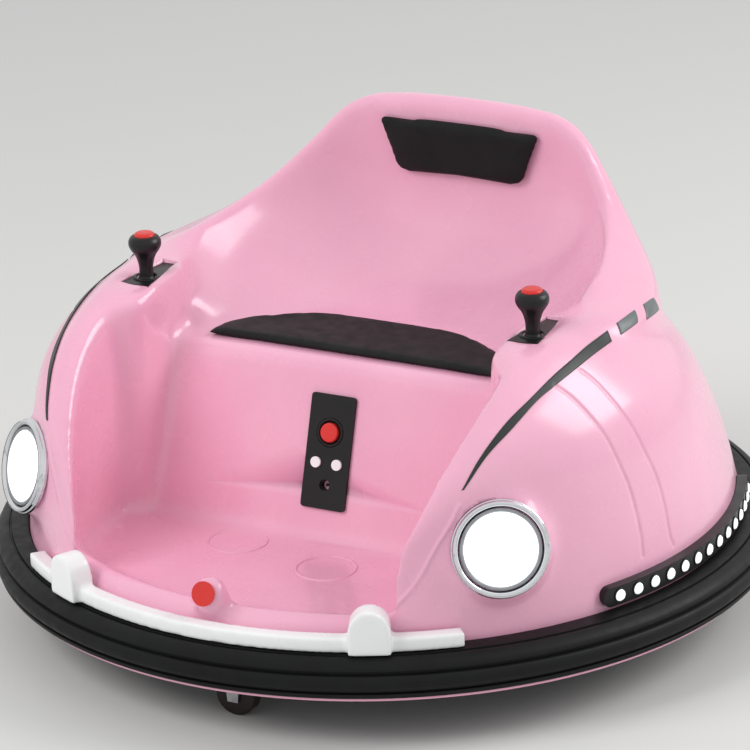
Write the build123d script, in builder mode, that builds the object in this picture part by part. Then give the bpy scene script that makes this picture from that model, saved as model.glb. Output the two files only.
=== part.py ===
"""A child's ride-on bumper car: round, two drive wheels, two swivel casters, two joysticks.

Millimetres. Z is up and the ground is z = 0. The front faces -Y, and the origin is on the
ground under the centre of the bumper ring. Side names are the driver's: left is +X.
"""

from build123d import *
from math import asin, cos, radians, sin
import os

os.makedirs("parts", exist_ok=True)

seat_gap = 0.3                # clearance between a piece and what carries it
reach = 400.0                 # longer than anything it cuts

# Base pan
pan_bottom = 42.0
pan_thickness = 4.0
pan_flange = 16.0             # the pan reaches this far past the body
pan_top = pan_bottom + pan_thickness
well_wall = 2.5               # walls of the boxes over the drive wheels

# Body shell
wall = 4.0
body_radius = 317.0
pan_radius = body_radius + pan_flange
crease_step = 3.0             # the fenders stand this far proud of the hood
upper_forward = 40.0          # the upper body's centre lies this far ahead of the ring's
sill_top = 106.0
sill_inner_radius = 291.0
sill_slope = 0.5              # the sill falls this steeply to the front
foot_floor = 90.0
seat_level = 238.0
riser_top_y = -73.0
riser_foot_y = -120.0
pod_top = 297.0
pod_inner_x = 168.0
pod_rear_y = -44.0
pod_rear_slope = 1.1          # the pods' rear faces run back and outwards to the seat's sides
back_top = 408.0
back_inner_y = 165.0

# Bumper ring
ring_depth = 32.7
ring_height = 36.0
ring_bottom = pan_top + seat_gap
ring_top = ring_bottom + ring_height
ring_inner = body_radius + seat_gap
ring_radius = ring_inner + ring_depth

# Dome of the lower body: height, how far its radius is inside the body's at the ring, and how far
# its centre is ahead of the ring's
dome_sections = (
    (ring_top + 2, 1.0, 0.0),
    (120.0, 6.8, 4.6),
    (155.5, 13.5, 10.9),
    (190.7, 21.7, 19.8),
    (225.1, 33.3, 30.5),
    (255.4, 52.5, 38.9),
    (282.0, 77.0, 42.4),
    (302.0, 107.0, 43.0),
)

# Sections of the raised back: height, half width, half width of the flat rear, rear y
back_sections = (
    (pan_top, 262.0, 0.0, 240.0),
    (250.0, 251.0, 0.0, 228.0),
    (310.0, 243.5, 20.0, 208.0),
    (360.0, 236.0, 50.0, 194.0),
    (430.0, 230.0, 76.0, 184.0),
)
back_widest_y = 10.0          # the raised back is widest here
back_front_y = -60.0          # and starts here, narrower by back_taper
back_taper = 34.0

# Sections of the seat tub, with the same columns
tub_sections = (
    (seat_level, 150.0, -60.0, 30.0, 38.0),
    (265.0, 166.0, -40.0, 40.0, 122.0),
    (295.0, 189.0, -14.0, 56.0, 153.0),
    (335.0, 205.0, 0.0, 70.0, back_inner_y),
    (450.0, 208.0, 0.0, 76.0, back_inner_y - 2.0),
)

# Head lamps
lamp_x = 232.5
lamp_y = -227.3
lamp_z = 162.3
lamp_azimuth = 35.0
lamp_tilt = 15.0
bezel_radius = 41.5
bezel_depth = 6.0
lens_radius = 34.5
lamp_neck_radius = 38.0
lamp_neck_length = 12.0

# Light strips: angles are measured from the front
strip_first = 66.0
strip_pitch = 3.65
strip_lights = 14
strip_z = 94.0
strip_height = 17.0
strip_radius = body_radius + 3.5
strip_inner = body_radius - 5.5
strip_lens_radius = 5.2

# White front bar and its two uprights
bar_end_angle = 40.0
bar_depth = 14.7
bar_height = 14.0
upright_x = 139.3
upright_width = 39.0
upright_height = 42.0
upright_depth = 22.0
upright_round = 7.0

# Control panel on the riser
panel_width = 43.0
panel_length = 100.0
panel_thickness = 3.0
panel_z = 164.0
power_up = 17.0               # places on the panel, up from its middle
mode_up = -10.0
jack_up = -29.0
power_radius = 8.5
power_seat_radius = 13.0
power_seat_depth = 1.5
mode_radius = 4.75
mode_spacing = 20.6
jack_radius = 5.0

# Joysticks
stick_x = 189.4
stick_y = -75.8
stick_pivot_z = 288.0
stick_ball_radius = 8.4
stick_neck_radius = 5.4
stick_knob_radius = 14.5
stick_top = 330.5
stick_button_radius = 9.0
stick_button_height = 3.5
plate_top = 292.0
plate_thickness = 3.0
plate_outline = ((175.5, -96.5), (203.5, -96.0), (196.0, -36.0), (182.5, -36.0))

# Pads
seat_pad_thickness = 6.0
headrest_low = 334.0
headrest_high = 381.0
headrest_thickness = 8.0

# Drive wheels
drive_x = 215.0
drive_radius = 55.0
drive_width = 34.0
drive_hub_radius = 38.0
hub_boss_radius = 13.0
hub_rim = 5.0
hub_dish = 9.0                # depth of the hub's hollow on each side of its web
hub_holes = 6
hub_hole_radius = 6.0
tread_grooves = 3
tread_groove_width = 3.0
tread_groove_depth = 2.0
drive_axle_radius = 5.0
running_gap = 0.05
slot_gap = 5.0

# Casters
caster_y = 288.0
caster_trail = 12.0
caster_radius = 18.75
caster_width = 14.0
caster_axle_radius = 2.5
caster_pin_radius = 4.0
caster_cup_radius = 25.5
caster_cup_wall = 2.5
caster_roof = 53.0
caster_plate_thickness = 2.5
caster_crown_thickness = 3.0
caster_cheek = 2.5

# Battery and gearboxes
battery_size = (90.0, 70.0, 105.0)
battery_y = 60.0
gearbox_size = (44.0, 90.0, 52.0)


def write(piece, name):
    """Label a finished piece and write its file."""
    piece.label = name
    export_step(piece, f"parts/{name}.step")


def both_sides(piece, name):
    """Write a piece that lies on the left and its mirror image on the right."""
    write(piece, name + "_left")
    write(mirror(piece, about=Plane.YZ), name + "_right")


def back_outline(half, flat, rear):
    """Plan outline of the raised back: a narrowing front, full sides and rounded rear corners."""
    with BuildSketch() as section:
        with BuildLine():
            for side, start in ((1, 0), (-1, 90)):
                EllipticalCenterArc((side * flat, back_widest_y), half - flat, rear - back_widest_y,
                                    start_angle=start, arc_size=90)
                ThreePointArc((side * half, back_widest_y),
                              (side * (half - back_taper / 4), (back_widest_y + back_front_y) / 2),
                              (side * (half - back_taper), back_front_y))
            Line((-(half - back_taper), back_front_y), (half - back_taper, back_front_y))
            Line((flat, rear), (-flat, rear))
        make_face()
    return section.sketch


def tub_outline(half, side_end, flat, rear, front=-90.0):
    """Plan outline of the seat tub or its pad: straight sides and rounded rear corners."""
    with BuildSketch() as section:
        with BuildLine():
            Polyline((half, side_end), (half, front), (-half, front), (-half, side_end))
            EllipticalCenterArc((flat, side_end), half - flat, rear - side_end,
                                start_angle=0, arc_size=90)
            EllipticalCenterArc((-flat, side_end), half - flat, rear - side_end,
                                start_angle=90, arc_size=90)
            Line((flat, rear), (-flat, rear))
        make_face()
    return section.sketch


def dome_form(inset):
    """The round lower body: circles whose centres move forward as they rise."""
    with BuildPart() as form:
        for height, inside, forward in dome_sections:
            with BuildSketch(Plane.XY.offset(height)):
                with Locations((0, -forward)):
                    Circle(body_radius - inside - inset)
        loft()
        with BuildSketch(Plane.XY.offset(pan_top)):
            Circle(body_radius - inset)
        extrude(amount=ring_top + 2 - pan_top)
    return form.part


def fender_form(inset):
    """The fenders: the dome up to the crease, which falls towards the front."""
    with BuildPart() as form:
        add(dome_form(inset))
        with BuildSketch(Plane.YZ):
            with BuildLine():
                Polyline((-276 + inset, 98 - inset), (-reach, 98 - inset - sill_slope * (reach - 276)),
                         (-reach, 0), (reach, 0), (reach, 289 - inset), (0, 289 - inset))
                ThreePointArc((0, 289 - inset), (-140, 268 - inset), (-230 + inset, 209 - inset))
                ThreePointArc((-230 + inset, 209 - inset), (-251 + inset, 155), (-276 + inset, 98 - inset))
            make_face()
        extrude(amount=reach, both=True, mode=Mode.INTERSECT)
    return form.part


def hood_form(inset):
    """The hood: the dome again, a little lower than the fenders, cut to the side view of the
    opening's edge and level across the joystick pods."""
    with BuildPart() as form:
        add(dome_form(inset + crease_step))
        with BuildSketch(Plane.YZ):
            with BuildLine():
                Polyline((-sill_inner_radius + inset, sill_top - inset),
                         (-reach, sill_top - inset - sill_slope * (reach - sill_inner_radius)),
                         (-reach, 0), (0, 0), (0, pod_top - inset), (-50, pod_top - inset))
                ThreePointArc((-50, pod_top - inset), (-97, 294 - inset), (-137, 285 - inset))
                ThreePointArc((-137, 285 - inset), (-200 + inset / 2, 250 - inset / 2),
                              (-247 + inset, 199 - inset / 2))
                ThreePointArc((-247 + inset, 199 - inset / 2), (-273 + inset, 150),
                              (-sill_inner_radius + inset, sill_top - inset))
            make_face()
        extrude(amount=reach, both=True, mode=Mode.INTERSECT)
    return form.part


def back_form(inset):
    """The raised back: sections that lean in as they rise, cut to the rim line from two sides."""
    with BuildPart() as form:
        for height, half, flat, rear in back_sections:
            with BuildSketch(Plane.XY.offset(height)):
                add(back_outline(half - inset, max(flat, 1.0), rear - inset))
        loft()
        with BuildSketch(Plane.XZ):
            with BuildLine():
                ThreePointArc((76, back_top - 4 - inset), (0, back_top - inset),
                              (-76, back_top - 4 - inset))
                for side in (1, -1):
                    ThreePointArc((side * 76, back_top - 4 - inset),
                                  (side * (112 - inset / 2), 394 - inset),
                                  (side * (136 - inset), 371 - inset))
                    Line((side * (136 - inset), 371 - inset), (side * (170 - inset), 332 - inset))
                    ThreePointArc((side * (170 - inset), 332 - inset), (side * (199 - inset), 307 - inset),
                                  (side * (238 - inset), 291 - inset))
                    Polyline((side * (238 - inset), 291 - inset), (side * 300, 281 - inset),
                             (side * 300, pan_top))
                Line((300, pan_top), (-300, pan_top))
            make_face()
        extrude(amount=reach, both=True, mode=Mode.INTERSECT)
        with BuildSketch(Plane.YZ):
            with BuildLine():
                Polyline((back_front_y + inset, pan_top), (back_front_y + inset, pod_top - inset),
                         (-12 + inset, pod_top - inset))
                ThreePointArc((-12 + inset, pod_top - inset), (24 + inset, 309), (46 + inset, 342))
                Polyline((46 + inset, 342), (66 + inset, back_top + 5), (reach, back_top + 5),
                         (reach, pan_top), (back_front_y + inset, pan_top))
            make_face()
        extrude(amount=reach, both=True, mode=Mode.INTERSECT)
    return form.part


def foot_well(grow):
    """The space over the foot floor and out through the front, with the leaning riser behind it."""
    pod_x = pod_inner_x + grow
    with BuildPart() as form:
        with BuildSketch(Plane.XY.offset(foot_floor - grow)):
            with BuildLine():
                for side in (1, -1):
                    Polyline((0, pod_rear_y), (side * pod_x, pod_rear_y), (side * pod_x, -110))
                    ThreePointArc((side * pod_x, -110), (side * (pod_x + 6), -126),
                                  (side * (pod_x + 22), -136))
                    ThreePointArc((side * (pod_x + 22), -136), (side * (183 + grow), -205),
                                  (side * (150 + grow), -273))
                    Polyline((side * (150 + grow), -273), (side * (146 + grow), -420), (0, -420))
            make_face()
        extrude(amount=500)
        with BuildSketch(Plane.YZ):
            Polygon((riser_foot_y + grow, foot_floor - grow), (riser_top_y + grow, seat_level - grow),
                    (pod_rear_y, seat_level - grow), (pod_rear_y, 600), (-500, 600),
                    (-500, foot_floor - grow), align=None)
        extrude(amount=reach, both=True, mode=Mode.INTERSECT)
        with BuildSketch(Plane.XY.offset(foot_floor - grow)):
            Circle(600)
            Circle(sill_inner_radius + grow, mode=Mode.SUBTRACT)
        extrude(amount=sill_top - foot_floor, mode=Mode.SUBTRACT)
    return form.part


def seat_tub(grow):
    """The dished seat and back, as sections from the seat up to the rim."""
    with BuildPart() as form:
        for height, half, side_end, flat, rear in tub_sections:
            with BuildSketch(Plane.XY.offset(height - grow)):
                add(tub_outline(half + grow, side_end, flat, rear + grow))
        loft()
        rear_y = pod_rear_y - grow * (1 + pod_rear_slope ** 2) ** 0.5
        far_y = rear_y + (reach - pod_inner_x) * pod_rear_slope
        with BuildSketch(Plane.XY.offset(seat_level - grow)):
            Polygon((-pod_inner_x, rear_y), (-reach, far_y), (-reach, -reach), (reach, -reach),
                    (reach, far_y), (pod_inner_x, rear_y), align=None)
        extrude(amount=reach, mode=Mode.SUBTRACT)
    return form.part


def rounded_band(band, thickness, radius):
    """A curved bar with its end corners rounded, where its edges are as long as it is thick."""
    corners = band.edges().filter_by(lambda edge: abs(edge.length - thickness) < 0.05)
    return fillet(corners, radius=radius)


def arc_band(inner, outer, low, high, first, last):
    """A curved bar between two radii and two heights, from one angle to another, on the left."""
    with BuildPart() as band:
        start = Plane.XZ.rotated((0, 0, first - 90))
        with BuildSketch(start):
            with Locations(((inner + outer) / 2, (low + high) / 2)):
                Rectangle(outer - inner, high - low)
        revolve(axis=Axis.Z, revolution_arc=last - first)
    return band.part


# Head lamp plane: its normal points out through the lens
lamp_normal = (sin(radians(lamp_azimuth)) * cos(radians(lamp_tilt)),
               -cos(radians(lamp_azimuth)) * cos(radians(lamp_tilt)), sin(radians(lamp_tilt)))
lamp_plane = Plane(origin=(lamp_x, lamp_y, lamp_z),
                   x_dir=(cos(radians(lamp_azimuth)), sin(radians(lamp_azimuth)), 0),
                   z_dir=lamp_normal)
riser_lean = (riser_top_y - riser_foot_y) / (seat_level - foot_floor)
panel_y = riser_foot_y + (panel_z - foot_floor) * riser_lean
panel_plane = Plane(origin=(0, panel_y, panel_z), x_dir=(1, 0, 0), z_dir=(0, -1, riser_lean))
strip_last = strip_first + (strip_lights - 1) * strip_pitch
strip_margin = 3.0            # degrees of housing past the first and last light
badge_plane = Plane(origin=(0, -body_radius, 118), x_dir=(1, 0, 0), z_dir=(0, -cos(radians(20)), sin(radians(20))))

with BuildPart() as lamp_boss:
    with BuildSketch(lamp_plane.offset(-bezel_depth)):
        Circle(bezel_radius)
    extrude(amount=-46, taper=-14)

with BuildPart() as badge_boss:
    with Locations(badge_plane.offset(-11)):
        Sphere(18)
    split(bisect_by=badge_plane.offset(-1), keep=Keep.BOTTOM)

with BuildPart() as plate_block:
    with BuildSketch(Plane.XY.offset(280)):
        Polygon(*plate_outline, align=None)
        offset(amount=8)
    extrude(amount=16)

with BuildPart() as plate_recess:
    with BuildSketch(Plane.XY.offset(plate_top - plate_thickness)):
        Polygon(*plate_outline, align=None)
        offset(amount=seat_gap)
    extrude(amount=30)
    with BuildSketch(Plane.XY.offset(260)):
        with Locations((stick_x, stick_y)):
            Circle(stick_ball_radius + 1.5)
    extrude(amount=60)

strip = rounded_band(arc_band(strip_inner, strip_radius, strip_z - strip_height / 2,
                              strip_z + strip_height / 2, strip_first - strip_margin,
                              strip_last + strip_margin),
                     strip_radius - strip_inner, strip_height / 2 - 1)
groove_out = strip_radius + 10
gap_angle = seat_gap / radians(strip_inner)
outer = fender_form(0) + hood_form(0) + back_form(0)
inner = fender_form(wall) + hood_form(wall) + back_form(wall)
cavity = inner - foot_well(wall) - seat_tub(wall)
strip_backing = arc_band(strip_inner - 6, strip_inner, strip_z - strip_height / 2 - wall,
                         strip_z + strip_height / 2 + wall, strip_first - strip_margin - 1,
                         strip_last + strip_margin + 1)
strip_groove = rounded_band(
    arc_band(strip_inner - seat_gap, groove_out, strip_z - strip_height / 2 - seat_gap,
             strip_z + strip_height / 2 + seat_gap, strip_first - strip_margin - gap_angle,
             strip_last + strip_margin + gap_angle),
    groove_out - strip_inner + seat_gap, strip_height / 2 - 1 + seat_gap)

with BuildPart() as body_shell:
    add(outer)
    add(lamp_boss.part)
    add(mirror(lamp_boss.part, about=Plane.YZ))
    add(foot_well(0), mode=Mode.SUBTRACT)
    add(seat_tub(0), mode=Mode.SUBTRACT)
    add(badge_boss.part)
    add(cavity, mode=Mode.SUBTRACT)
    for block in (outer & plate_block.part, outer & strip_backing):
        add(block)
        add(mirror(block, about=Plane.YZ))
    for cut in (plate_recess.part, strip_groove):
        add(cut, mode=Mode.SUBTRACT)
        add(mirror(cut, about=Plane.YZ), mode=Mode.SUBTRACT)
    for side in (1, -1):
        lamp_axis = Plane(origin=(side * lamp_x, lamp_y, lamp_z),
                          z_dir=(side * lamp_normal[0], lamp_normal[1], lamp_normal[2]))
        with BuildSketch(lamp_axis.offset(-bezel_depth)):
            Circle(lamp_neck_radius + seat_gap)
        extrude(amount=-lamp_neck_length - seat_gap, mode=Mode.SUBTRACT)
        with BuildSketch(lamp_axis.offset(-bezel_depth)):
            Circle(bezel_radius + seat_gap)
        extrude(amount=bezel_depth + 20, mode=Mode.SUBTRACT)
    with BuildSketch(panel_plane.offset(5)):
        with Locations((0, jack_up)):
            Circle(jack_radius)
    extrude(amount=-20, mode=Mode.SUBTRACT)
    for side in (1, -1):
        with BuildSketch(Plane.XY.offset(pan_top)):
            with Locations((0, side * caster_y)):
                Circle(caster_cup_radius + caster_cup_wall + seat_gap)
        extrude(amount=caster_roof + caster_cup_wall + seat_gap - pan_top, mode=Mode.SUBTRACT)
write(body_shell.part, "body_shell")

slot_half_x = drive_width / 2 + slot_gap
slot_half_y = drive_radius + slot_gap
well_height = 2 * drive_radius + slot_gap - pan_top
with BuildPart() as base_pan:
    with BuildSketch(Plane.XY.offset(pan_bottom)):
        Circle(pan_radius)
    extrude(amount=pan_thickness)
    with BuildSketch(Plane.XY.offset(pan_top)):
        with Locations((drive_x, 0), (-drive_x, 0)):
            Rectangle(2 * (slot_half_x + well_wall), 2 * (slot_half_y + well_wall))
    extrude(amount=well_height + well_wall)
    with BuildSketch(Plane.XY.offset(pan_bottom)):
        with Locations((drive_x, 0), (-drive_x, 0)):
            Rectangle(2 * slot_half_x, 2 * slot_half_y)
    extrude(amount=pan_thickness + well_height, mode=Mode.SUBTRACT)
    with Locations(Plane(origin=(0, 0, drive_radius), z_dir=(1, 0, 0))):
        Cylinder(drive_axle_radius + 1.5, 2 * (drive_x - slot_half_x + 1), mode=Mode.SUBTRACT)
    for side in (1, -1):
        with BuildSketch(Plane.XY.offset(pan_top)):
            with Locations((0, side * caster_y)):
                Circle(caster_cup_radius + caster_cup_wall)
        extrude(amount=caster_roof + caster_cup_wall - pan_top)
        with BuildSketch(Plane.XY.offset(pan_bottom)):
            with Locations((0, side * caster_y)):
                Circle(caster_cup_radius)
        extrude(amount=caster_roof - pan_bottom, mode=Mode.SUBTRACT)
write(base_pan.part, "base_pan")

with BuildPart() as bumper_ring:
    with BuildSketch(Plane.XZ):
        with BuildLine():
            Line((ring_inner, ring_bottom), (ring_radius - 12, ring_bottom))
            ThreePointArc((ring_radius - 12, ring_bottom), (ring_radius - 6, ring_bottom + 1.5),
                          (ring_radius - 3.5, ring_bottom + 5))
            Polyline((ring_radius - 3.5, ring_bottom + 5), (ring_radius - 5, ring_bottom + 6.5),
                     (ring_radius - 2, ring_bottom + 8.5))
            ThreePointArc((ring_radius - 2, ring_bottom + 8.5), (ring_radius, ring_bottom + 15),
                          (ring_radius - 2, ring_bottom + 22))
            Polyline((ring_radius - 2, ring_bottom + 22), (ring_radius - 5.5, ring_bottom + 23),
                     (ring_radius - 5.5, ring_bottom + 25))
            ThreePointArc((ring_radius - 5.5, ring_bottom + 25), (ring_radius - 8, ring_top - 4.5),
                          (ring_radius - 14, ring_top - 1))
            Polyline((ring_radius - 14, ring_top - 1), (ring_radius - 19, ring_top), (ring_inner, ring_top),
                     (ring_inner, ring_bottom))
        make_face()
    revolve(axis=Axis.Z)
write(bumper_ring.part, "bumper_ring")

upright_angle = asin(upright_x / ring_inner)
upright_plane = Plane(origin=(0, 0, ring_top + seat_gap), x_dir=(cos(upright_angle), sin(upright_angle), 0),
                      z_dir=(sin(upright_angle), -cos(upright_angle), 0))
with BuildPart() as upright:
    with BuildSketch(upright_plane.offset(ring_inner - 15)):
        with Locations((0, upright_height / 2 - upright_width / 4)):
            RectangleRounded(upright_width, upright_height + upright_width / 2, upright_width / 2 - 2)
    extrude(amount=15 + upright_depth)
    fillet(faces().filter_by(lambda face: face.center().length > ring_inner + upright_depth - 6).edges(),
           radius=upright_round)
    with BuildSketch(Plane.XY.offset(ring_top + seat_gap)):
        Circle(2 * ring_inner)
        Circle(ring_inner, mode=Mode.SUBTRACT)
    extrude(amount=2 * upright_height, mode=Mode.INTERSECT)

bar = rounded_band(arc_band(ring_inner, ring_inner + bar_depth, ring_top + seat_gap,
                            ring_top + seat_gap + bar_height, -bar_end_angle, bar_end_angle),
                   bar_depth, bar_height / 2 - 1)
with BuildPart() as front_bar:
    add(bar)
    add(upright.part)
    add(mirror(upright.part, about=Plane.YZ))
write(front_bar.part, "front_bar")

with BuildPart() as bezel:
    with BuildSketch(lamp_plane.offset(-bezel_depth)):
        Circle(bezel_radius)
    extrude(amount=bezel_depth)
    fillet(edges().filter_by(GeomType.CIRCLE).sort_by(Axis.Y)[0], radius=4)
    with BuildSketch(lamp_plane.offset(-bezel_depth)):
        Circle(lamp_neck_radius)
    extrude(amount=-lamp_neck_length)
    with BuildSketch(lamp_plane.offset(-bezel_depth)):
        Circle(lens_radius + seat_gap)
    extrude(amount=bezel_depth, mode=Mode.SUBTRACT)
both_sides(bezel.part, "headlight_bezel")

with BuildPart() as lens:
    with BuildSketch(lamp_plane.offset(-bezel_depth)):
        Circle(lens_radius)
    extrude(amount=bezel_depth + 2, taper=12)
both_sides(lens.part, "headlight_lens")

both_sides(strip, "led_strip")

with BuildPart() as strip_lenses:
    for number in range(strip_lights):
        angle = strip_first + number * strip_pitch
        out = (sin(radians(angle)), -cos(radians(angle)), 0)
        seat = Plane(origin=(out[0] * strip_radius, out[1] * strip_radius, strip_z), z_dir=out)
        with BuildSketch(seat):
            Circle(strip_lens_radius)
        extrude(amount=2.5, taper=20)
both_sides(strip_lenses.part, "led_lenses")

with BuildPart() as badge:
    with BuildSketch(badge_plane.offset(-1)):
        Circle(10.5)
    extrude(amount=2)
write(badge.part, "front_badge")

with BuildPart() as control_panel:
    with BuildSketch(panel_plane):
        RectangleRounded(panel_width, panel_length, 3)
        with Locations((0, jack_up)):
            Circle(jack_radius, mode=Mode.SUBTRACT)
    extrude(amount=panel_thickness)
    with BuildSketch(panel_plane.offset(panel_thickness - power_seat_depth)):
        with Locations((0, power_up)):
            Circle(power_seat_radius)
    extrude(amount=power_seat_depth, mode=Mode.SUBTRACT)
write(control_panel.part, "control_panel")

with BuildPart() as power_button:
    with BuildSketch(panel_plane.offset(panel_thickness - power_seat_depth)):
        with Locations((0, power_up)):
            Circle(power_radius)
    extrude(amount=power_seat_depth + 3)
    fillet(faces().sort_by(Axis.Y)[0].edges(), radius=1.5)
write(power_button.part, "power_button")

with BuildPart() as mode_buttons:
    with BuildSketch(panel_plane.offset(panel_thickness)):
        with GridLocations(mode_spacing, 0, 2, 1):
            with Locations((0, mode_up)):
                Circle(mode_radius)
    extrude(amount=2)
write(mode_buttons.part, "mode_buttons")

with BuildPart() as seat_pad:
    with BuildSketch(Plane.XY.offset(seat_level + seat_gap)):
        add(tub_outline(142, -50, 30, 29, front=-58.5))
    extrude(amount=seat_pad_thickness)
write(seat_pad.part, "seat_pad")

with BuildPart() as headrest_pad:
    with BuildSketch(Plane.XZ.offset(-(back_inner_y - 1.4))):
        with BuildLine():
            Polyline((-82, headrest_high), (-63, headrest_low), (63, headrest_low), (82, headrest_high))
            ThreePointArc((82, headrest_high), (0, headrest_high + 4), (-82, headrest_high))
        make_face()
        fillet(vertices().group_by(Axis.Y)[0], radius=14)
    extrude(amount=headrest_thickness)
write(headrest_pad.part, "headrest_pad")

with BuildPart() as plate:
    with BuildSketch(Plane.XY.offset(plate_top - plate_thickness)):
        Polygon(*plate_outline, align=None)
        with Locations((stick_x, stick_y)):
            Circle(stick_ball_radius + seat_gap, mode=Mode.SUBTRACT)
    extrude(amount=plate_thickness)
both_sides(plate.part, "joystick_plate")

stick_ball_rise = (stick_ball_radius ** 2 - stick_neck_radius ** 2) ** 0.5
with BuildPart() as stick:
    with BuildSketch(Plane.XZ.offset(-stick_y)):
        with BuildLine():
            Line((stick_x, stick_pivot_z - stick_ball_radius), (stick_x, stick_top))
            Polyline((stick_x, stick_top), (stick_x + 11, stick_top),
                     (stick_x + stick_knob_radius, stick_top - 5),
                     (stick_x + stick_knob_radius, stick_top - 9), (stick_x + stick_neck_radius, 309),
                     (stick_x + stick_neck_radius, stick_pivot_z + stick_ball_rise))
            ThreePointArc((stick_x + stick_neck_radius, stick_pivot_z + stick_ball_rise),
                          (stick_x + stick_ball_radius, stick_pivot_z),
                          (stick_x, stick_pivot_z - stick_ball_radius))
        make_face()
    revolve(axis=Axis((stick_x, stick_y, 0), (0, 0, 1)))
both_sides(stick.part, "joystick_stick")

with BuildPart() as stick_button:
    with BuildSketch(Plane.XY.offset(stick_top)):
        with Locations((stick_x, stick_y)):
            Circle(stick_button_radius)
    extrude(amount=stick_button_height)
both_sides(stick_button.part, "joystick_button")

wheel_plane = Plane(origin=(drive_x - drive_width / 2, 0, drive_radius), z_dir=(1, 0, 0))
with BuildPart() as tyre:
    with BuildSketch(wheel_plane):
        Circle(drive_radius)
    extrude(amount=drive_width)
    fillet(edges(), radius=4)
    with BuildSketch(wheel_plane):
        Circle(drive_hub_radius)
    extrude(amount=drive_width, mode=Mode.SUBTRACT)
    for number in range(tread_grooves):
        middle = drive_width * (number + 1) / (tread_grooves + 1)
        with BuildSketch(wheel_plane.offset(middle - tread_groove_width / 2)):
            Circle(drive_radius + 1)
            Circle(drive_radius - tread_groove_depth, mode=Mode.SUBTRACT)
        extrude(amount=tread_groove_width, mode=Mode.SUBTRACT)
both_sides(tyre.part, "drive_tyre")

with BuildPart() as hub:
    with BuildSketch(wheel_plane):
        Circle(drive_hub_radius)
        Circle(drive_axle_radius + running_gap, mode=Mode.SUBTRACT)
    extrude(amount=drive_width)
    for start in (0, drive_width - hub_dish):
        with BuildSketch(wheel_plane.offset(start)):
            Circle(drive_hub_radius - hub_rim)
            Circle(hub_boss_radius, mode=Mode.SUBTRACT)
        extrude(amount=hub_dish, mode=Mode.SUBTRACT)
    with BuildSketch(wheel_plane):
        with PolarLocations((hub_boss_radius + drive_hub_radius - hub_rim) / 2, hub_holes):
            Circle(hub_hole_radius)
    extrude(amount=drive_width, mode=Mode.SUBTRACT)
both_sides(hub.part, "drive_hub")

gearbox_x = drive_x - slot_half_x - well_wall - gearbox_size[0]
with BuildPart() as gearbox:
    with Locations((gearbox_x, 20, pan_top)):
        Box(*gearbox_size, align=(Align.MIN, Align.CENTER, Align.MIN))
    with BuildSketch(Plane(origin=(gearbox_x + gearbox_size[0], 0, drive_radius), z_dir=(1, 0, 0))):
        Circle(drive_axle_radius)
    extrude(amount=well_wall + slot_half_x + drive_width / 2 + 4)
both_sides(gearbox.part, "gearbox")

with BuildPart() as battery_block:
    with Locations((0, battery_y, pan_top)):
        Box(*battery_size, align=(Align.CENTER, Align.CENTER, Align.MIN))
write(battery_block.part, "battery_block")

# The front caster trails to the left and the rear one to the right, as after a spin
crown_top = caster_roof - caster_plate_thickness - seat_gap
for end, side in (("front", -1), ("rear", 1)):
    pivot_y = side * caster_y
    wheel_x = -side * caster_trail
    with BuildPart() as caster_plate:
        with BuildSketch(Plane.XY.offset(caster_roof - caster_plate_thickness)):
            with Locations((0, pivot_y)):
                Circle(18)
        extrude(amount=caster_plate_thickness)
        with BuildSketch(Plane.XY.offset(crown_top - caster_crown_thickness - 3)):
            with Locations((0, pivot_y)):
                Circle(caster_pin_radius)
        extrude(amount=caster_crown_thickness + 3 + seat_gap)
    write(caster_plate.part, "caster_plate_" + end)

    with BuildPart() as caster_fork:
        with BuildSketch(Plane.XY.offset(crown_top - caster_crown_thickness)):
            with Locations((0, pivot_y)):
                Circle(13)
            with Locations((wheel_x / 2, pivot_y)):
                Rectangle(caster_trail + 8, caster_width + 2 + 2 * caster_cheek)
            with Locations((0, pivot_y)):
                Circle(caster_pin_radius + running_gap, mode=Mode.SUBTRACT)
        extrude(amount=caster_crown_thickness)
        for face in (1, -1):
            with BuildSketch(Plane.XZ.offset(-(pivot_y + face * (caster_width / 2 + 1 + caster_cheek / 2)))):
                with BuildLine():
                    Polyline((wheel_x - 5, caster_radius - 5), (wheel_x + 5, caster_radius - 5),
                             (wheel_x + 8, crown_top), (wheel_x - 8, crown_top),
                             (wheel_x - 5, caster_radius - 5))
                make_face()
            extrude(amount=caster_cheek / 2, both=True)
    write(caster_fork.part, "caster_fork_" + end)

    with BuildPart() as caster_axle:
        with BuildSketch(Plane.XZ.offset(-pivot_y)):
            with Locations((wheel_x, caster_radius)):
                Circle(caster_axle_radius)
        extrude(amount=caster_width / 2 + 1, both=True)
    write(caster_axle.part, "caster_axle_" + end)

    with BuildPart() as caster_wheel:
        with BuildSketch(Plane.XZ.offset(-pivot_y)):
            with Locations((wheel_x, caster_radius)):
                Circle(caster_radius)
        extrude(amount=caster_width / 2, both=True)
        fillet(edges(), radius=2.5)
        with BuildSketch(Plane.XZ.offset(-pivot_y)):
            with Locations((wheel_x, caster_radius)):
                Circle(caster_axle_radius + running_gap)
        extrude(amount=caster_width, both=True, mode=Mode.SUBTRACT)
    write(caster_wheel.part, "caster_wheel_" + end)
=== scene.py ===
"""A child's ride-on bumper car: moulded body, rubber ring, lamps, pads, joysticks and wheels."""

import bmesh
import bpy
from math import cos, degrees, exp, radians, sin, tau
from mathutils import Matrix, Vector
from mathutils.bvhtree import BVHTree
from mathutils.kdtree import KDTree


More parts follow.
